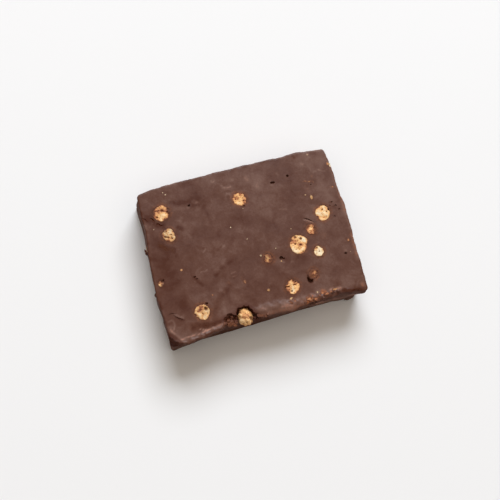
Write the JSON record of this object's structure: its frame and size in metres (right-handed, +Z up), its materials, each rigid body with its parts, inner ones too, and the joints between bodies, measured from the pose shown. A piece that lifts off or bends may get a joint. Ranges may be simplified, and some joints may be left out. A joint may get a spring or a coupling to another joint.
{
  "type": "chocolate nougat",
  "caption": "Hand-cut slab of chocolate nougat lying flat, with toasted cereal crisps cut open in its faces and a whole one lying bare at its edge.",
  "frame": {"origin": "middle of the underside, on the surface that the slab lies on", "axes": "+X along the slab's length, +Y across its depth to the back wall, +Z up out of the top face"},
  "size_m": [0.0622, 0.0487, 0.0141],
  "materials": {
    "chocolate": "dull satin, like cut chocolate",
    "crisp": "dry and porous, like toasted cereal"
  },
  "bodies": {
    "root": {"nougat": "chocolate", "crisp_top_01": "crisp", "crisp_top_02": "crisp", "crisp_top_03": "crisp", "crisp_top_04": "crisp", "crisp_top_05": "crisp", "crisp_top_06": "crisp", "crisp_top_07": "crisp", "crisp_top_08": "crisp", "crisp_top_09": "crisp", "crisp_top_10": "crisp", "crisp_top_11": "crisp", "crisp_top_12": "crisp", "crisp_bare": "crisp", "crisp_rim_01": "crisp", "crisp_rim_02": "crisp", "crisp_rim_03": "crisp", "crisp_right_01": "crisp", "crisp_right_02": "crisp", "crisp_back_01": "crisp", "crisp_back_02": "crisp", "crisp_back_03": "crisp", "crisp_back_04": "crisp", "crisp_left_01": "crisp", "crisp_left_02": "crisp", "crisp_under_01": "crisp", "crisp_under_02": "crisp", "crisp_under_03": "crisp", "crisp_under_04": "crisp", "crisp_under_05": "crisp"}
  },
  "joints": []
}
